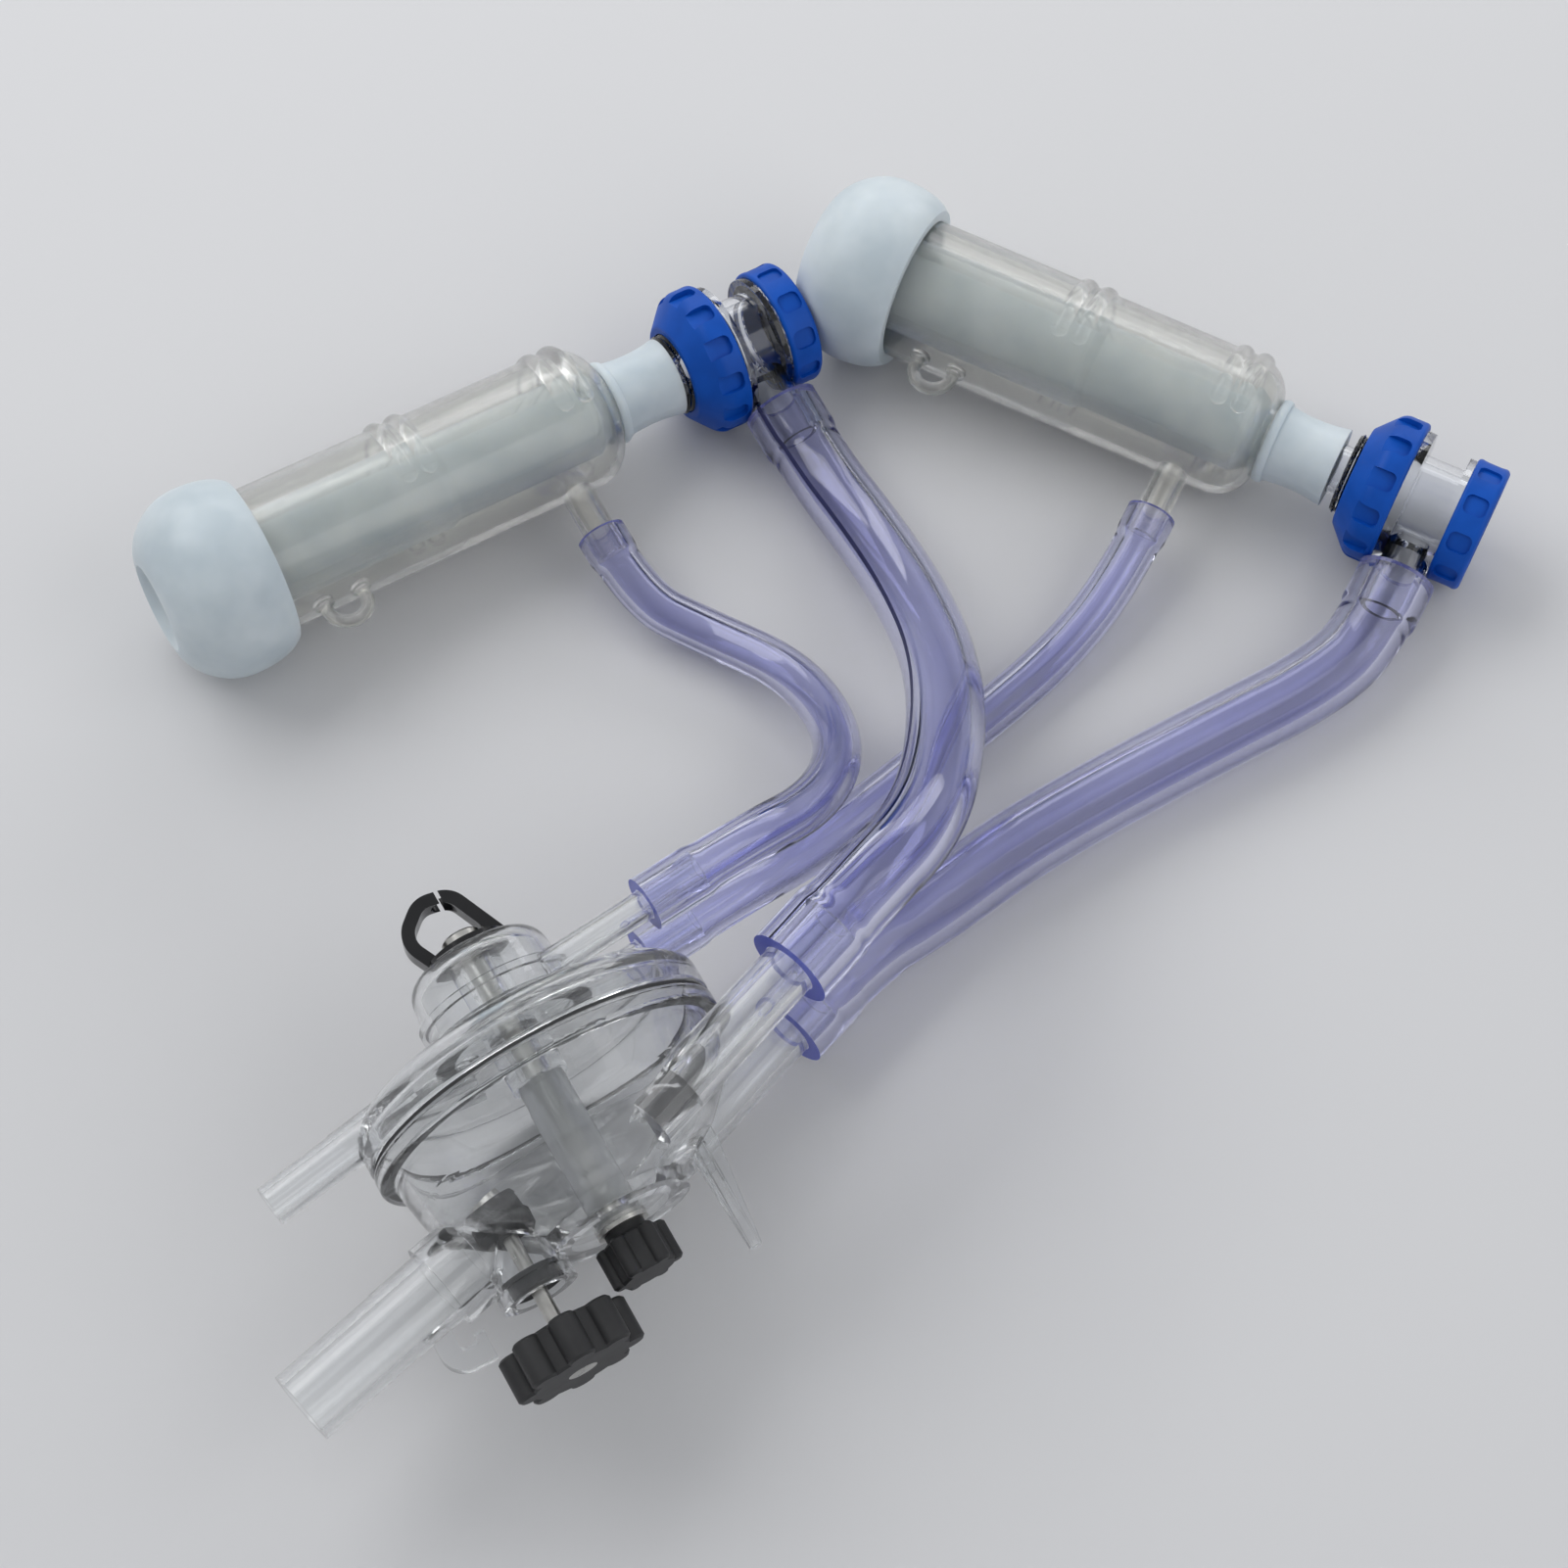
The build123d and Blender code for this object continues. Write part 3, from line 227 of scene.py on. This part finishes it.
STEEL_LOOK = {
    "shades": ((0.50, 0.49, 0.46), (0.64, 0.63, 0.60)),
    "roughness": (0.22, 0.38),
    "drift": 200,
    "bump": 0.1,
    "grain": 900,
}

# Floor, lamps and backdrop, in metres and watts
FLOOR_HALF = 6.0
FLOOR_COLOUR = (0.62, 0.62, 0.63, 1)
FLOOR_ROUGHNESS = 0.75
LIT_POINT = (0, 0, 0.04)
LAMPS = {
    "key": {"place": (-0.9, 0.7, 1.3), "size": (1.6, 1.0), "power": 13},
    "fill": {"place": (1.1, -0.4, 1.0), "size": (1.4, 1.2), "power": 6},
    "strip": {"place": (0.2, 1.2, 0.6), "size": (1.4, 0.35), "power": 4},
}
BACKDROP_COLOUR = (0.9, 0.92, 0.95, 1)
BACKDROP_STRENGTH = 0.55


def add_camera():
    data = bpy.data.cameras.new("camera")
    data.lens = LENS
    data.sensor_width = SENSOR
    data.clip_start = 0.01
    camera = bpy.data.objects.new("camera", data)
    tilt = math.radians(LOOK_DOWN)
    camera.location = LOOK_AT + CAMERA_DISTANCE * Vector((0, -math.cos(tilt), math.sin(tilt)))
    camera.rotation_euler = (math.pi / 2 - tilt, 0, 0)
    bpy.context.scene.collection.objects.link(camera)
    bpy.context.scene.camera = camera


def new_material(name):
    """An empty node material: its nodes, links and Principled shader."""
    material = bpy.data.materials.new(name)
    material.use_nodes = True
    nodes = material.node_tree.nodes
    nodes.clear()
    shader = nodes.new("ShaderNodeBsdfPrincipled")
    output = nodes.new("ShaderNodeOutputMaterial")
    material.node_tree.links.new(shader.outputs["BSDF"], output.inputs["Surface"])
    return material, nodes, material.node_tree.links, shader


def noise(nodes, links, scale, detail):
    """Noise in the object's own coordinates."""
    place = nodes.new("ShaderNodeTexCoord")
    texture = nodes.new("ShaderNodeTexNoise")
    texture.inputs["Scale"].default_value = scale
    texture.inputs["Detail"].default_value = detail
    links.new(place.outputs["Object"], texture.inputs["Vector"])
    return texture


def finish_surface(nodes, links, shader, shades, roughness, drift, bump, grain):
    """Colour and roughness that drift between two values, and a fine bump."""
    patches = noise(nodes, links, drift, DRIFT_DETAIL)
    ramp = nodes.new("ShaderNodeValToRGB")
    for stop, place, shade in zip(ramp.color_ramp.elements, (DRIFT_START, DRIFT_END), shades):
        stop.position = place
        stop.color = (*shade, 1)
    links.new(patches.outputs["Fac"], ramp.inputs["Fac"])
    links.new(ramp.outputs["Color"], shader.inputs["Base Color"])

    spread = nodes.new("ShaderNodeMapRange")
    spread.inputs["To Min"].default_value = roughness[0]
    spread.inputs["To Max"].default_value = roughness[1]
    links.new(patches.outputs["Fac"], spread.inputs["Value"])
    links.new(spread.outputs["Result"], shader.inputs["Roughness"])

    grains = noise(nodes, links, grain, GRAIN_DETAIL)
    relief = nodes.new("ShaderNodeBump")
    relief.inputs["Strength"].default_value = bump
    relief.inputs["Distance"].default_value = BUMP_HEIGHT
    links.new(grains.outputs["Fac"], relief.inputs["Height"])
    links.new(relief.outputs["Normal"], shader.inputs["Normal"])


def clear_plastic(name, shades, roughness, bump, transmission=1.0, alpha=1.0):
    """Clear plastic; an alpha below 1 lets part of the light through unbent, as thin walls do."""
    material, nodes, links, shader = new_material(name)
    shader.inputs["Transmission Weight"].default_value = transmission
    shader.inputs["IOR"].default_value = CLEAR_IOR
    shader.inputs["Alpha"].default_value = alpha
    finish_surface(nodes, links, shader, shades, roughness, CLEAR_DRIFT, bump, CLEAR_GRAIN)
    return material


def opaque_plastic(name, shades, roughness, bump, grain, specular=0.5):
    material, nodes, links, shader = new_material(name)
    shader.inputs["Specular IOR Level"].default_value = specular
    finish_surface(nodes, links, shader, shades, roughness, OPAQUE_DRIFT, bump, grain)
    return material


def silicone():
    """Milky silicone that lets some light through, with a soft, slightly mottled skin."""
    material, nodes, links, shader = new_material("liner_silicone")
    shader.inputs["Subsurface Weight"].default_value = SCATTER_WEIGHT
    shader.inputs["Subsurface Radius"].default_value = SCATTER_RADIUS
    shader.inputs["Subsurface Scale"].default_value = SCATTER_DEPTH
    shader.inputs["IOR"].default_value = SILICONE_IOR
    finish_surface(nodes, links, shader, **SILICONE_LOOK)
    return material


def steel():
    material, nodes, links, shader = new_material("stainless")
    shader.inputs["Metallic"].default_value = 1.0
    finish_surface(nodes, links, shader, **STEEL_LOOK)
    return material


MATERIALS = {"liner_silicone": silicone(), "stainless": steel()}
for look_name, look in CLEAR_LOOKS.items():
    MATERIALS[look_name] = clear_plastic(look_name, **look)
for look_name, look in OPAQUE_LOOKS.items():
    MATERIALS[look_name] = opaque_plastic(look_name, **look)


def dress_nodes():
    """Each CAD node takes the material of its slot in the record."""
    for part in frame["record"]["subparts"]:
        node = frame["nodes"][part["node"]]
        node.data.materials.clear()
        node.data.materials.append(MATERIALS[part["material_slot"]])


def route_points(name, points):
    """Points along the smooth curve that has the route's points as its control points."""
    curve = bpy.data.curves.new(name + "_route", "CURVE")
    curve.dimensions = "3D"
    curve.resolution_u = ROUTE_STEPS
    spline = curve.splines.new("NURBS")
    spline.points.add(len(points) - 1)
    for control, point in zip(spline.points, points):
        control.co = (*point, 1)
    spline.order_u = ROUTE_ORDER
    spline.use_endpoint_u = True
    holder = bpy.data.objects.new(name + "_route", curve)
    bpy.context.scene.collection.objects.link(holder)
    line = bpy.data.meshes.new_from_object(holder)
    path = [vertex.co.copy() for vertex in line.vertices]
    bpy.data.objects.remove(holder)
    bpy.data.meshes.remove(line)
    return path


def cuff_share(distance, cuff_length, fade):
    """1 on the stretched cuff, falling smoothly to 0 on the plain tube."""
    over = (distance - cuff_length) / fade
    if over <= 0:
        return 1.0
    if over >= 1:
        return 0.0
    return 1 - over * over * (3 - 2 * over)


def with_middles(points):
    """The points with one more halfway between each two."""
    path = []
    for start, end in zip(points, points[1:]):
        path += [start, (start + end) / 2]
    return [*path, points[-1]]


def distances(path):
    """How far each point of a path lies along it."""
    travelled = [0.0]
    for start, end in zip(path, path[1:]):
        travelled.append(travelled[-1] + (end - start).length)
    return travelled


def wall_radii(from_ends, sizes, nipples, depths):
    """Outer and inner radius of a tube at a place, from its distances to both ends."""
    radius, bore, cuff, cuff_lengths = sizes
    swell = max(cuff_share(distance, reach, CUFF_FADE) for distance, reach in zip(from_ends, cuff_lengths))
    inner = bore
    for distance, nipple, depth in zip(from_ends, nipples, depths):
        share = cuff_share(distance, depth, NIPPLE_FADE)
        inner = max(inner, bore + (nipple + NIPPLE_CLEARANCE - bore) * share)
    return radius + (cuff - radius) * swell, inner


def tube_vertices(path, travelled, sizes, nipples, depths):
    """Two rings at each point of the path, the outer and the inner, without twist."""
    along = (path[1] - path[0]).normalized()
    side = along.cross(Vector((0, 0, 1))).normalized()
    vertices = []
    for place, at in enumerate(path):
        before = path[max(place - 1, 0)]
        after = path[min(place + 1, len(path) - 1)]
        turned = (after - before).normalized()
        side = (along.rotation_difference(turned) @ side).normalized()
        along = turned
        up = along.cross(side)
        from_ends = (travelled[place], travelled[-1] - travelled[place])
        for ring in wall_radii(from_ends, sizes, nipples, depths):
            for step in range(TUBE_SIDES):
                turn = 2 * math.pi * step / TUBE_SIDES
                vertices.append(at + ring * (math.cos(turn) * side + math.sin(turn) * up))
    return vertices


def tube_faces(rows, stripe):
    """Faces of both walls and of the cut ends, and the material slot of each."""
    row_size = 2 * TUBE_SIDES
    faces = []
    slots = []
    for row in range(rows - 1):
        for step in range(TUBE_SIDES):
            following = (step + 1) % TUBE_SIDES
            low = row * row_size
            high = low + row_size
            faces.append((low + step, low + following, high + following, high + step))
            striped = stripe is not None and stripe <= step < stripe + STRIPE_SIDES
            slots.append(STRIPE if striped else WALL)
            low += TUBE_SIDES
            high += TUBE_SIDES
            faces.append((low + step, high + step, high + following, low + following))
            slots.append(WALL)
    for low, flip in ((0, True), ((rows - 1) * row_size, False)):
        for step in range(TUBE_SIDES):
            following = (step + 1) % TUBE_SIDES
            inside = low + TUBE_SIDES
            corners = (low + step, low + following, inside + following, inside + step)
            faces.append(tuple(reversed(corners)) if flip else corners)
            slots.append(CUT_END)
    return faces, slots


def hollow_tube(name, points, sizes, nipples, depths, stripe=None):
    """A hollow tube stretched over a nipple at each end, with the line it follows and its length."""
    path = with_middles(route_points(name, points))
    travelled = distances(path)
    faces, slots = tube_faces(len(path), stripe)
    mesh = bpy.data.meshes.new(name)
    mesh.from_pydata(tube_vertices(path, travelled, sizes, nipples, depths), [], faces)
    for slot in TUBE_MATERIALS:
        mesh.materials.append(MATERIALS[slot])
    mesh.polygons.foreach_set("material_index", slots)
    mesh.shade_smooth()
    mesh.set_sharp_from_angle(angle=math.radians(SHARP_ANGLE))
    mesh.update()
    piece = bpy.data.objects.new(name, mesh)
    bpy.context.scene.collection.objects.link(piece)
    return piece, path, travelled[-1]


def add_tube(name, node, points, sizes, nipples, depths, stripe=None):
    """A free tube from one piece to another, attached to the claw-and-cups body in place of its CAD node,
    which is hidden.
    """
    piece, path, total = hollow_tube(name, points, sizes, nipples, depths, stripe)
    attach(piece, "claw_and_cups")
    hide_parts(node)


def add_tubes():
    milk = (MILK_RADIUS, MILK_BORE, MILK_CUFF, MILK_CUFFS)
    pulse = (PULSE_RADIUS, PULSE_BORE, PULSE_CUFF, PULSE_CUFFS)
    add_tube("milk_hose_a", "milk_tube_a", MILK_ROUTE_A, milk, MILK_NIPPLES, MILK_DEPTHS_A, STRIPE_SIDE)
    add_tube("milk_hose_b", "milk_tube_b", MILK_ROUTE_B, milk, MILK_NIPPLES, MILK_DEPTHS_B)
    add_tube("pulse_hose_a", "pulse_tube_a", PULSE_ROUTE_A, pulse, PULSE_NIPPLES, PULSE_DEPTHS)
    add_tube("pulse_hose_b", "pulse_tube_b", PULSE_ROUTE_B, pulse, PULSE_NIPPLES, PULSE_DEPTHS)


def add_floor():
    half = FLOOR_HALF
    mesh = bpy.data.meshes.new("floor")
    corners = [(-half, -half, 0), (half, -half, 0), (half, half, 0), (-half, half, 0)]
    mesh.from_pydata(corners, [], [(0, 1, 2, 3)])
    floor = bpy.data.objects.new("floor", mesh)
    material, _, _, shader = new_material("floor")
    shader.inputs["Base Color"].default_value = FLOOR_COLOUR
    shader.inputs["Roughness"].default_value = FLOOR_ROUGHNESS
    mesh.materials.append(material)
    bpy.context.scene.collection.objects.link(floor)


def add_light(name, place, size, power):
    """A soft rectangular lamp that faces the lit point."""
    data = bpy.data.lights.new(name, "AREA")
    data.shape = "RECTANGLE"
    data.size = size[0]
    data.size_y = size[1]
    data.energy = power
    lamp = bpy.data.objects.new(name, data)
    lamp.location = place
    lamp.rotation_euler = (Vector(LIT_POINT) - Vector(place)).to_track_quat("-Z", "Y").to_euler()
    bpy.context.scene.collection.objects.link(lamp)


def add_studio():
    for name, lamp in LAMPS.items():
        add_light(name, **lamp)
    world = bpy.data.worlds.new("studio")
    world.use_nodes = True
    backdrop = world.node_tree.nodes["Background"]
    backdrop.inputs["Color"].default_value = BACKDROP_COLOUR
    backdrop.inputs["Strength"].default_value = BACKDROP_STRENGTH
    bpy.context.scene.world = world


add_camera()
add_tubes()
dress_nodes()
add_floor()
add_studio()
bpy.context.scene.view_settings.view_transform = "Standard"
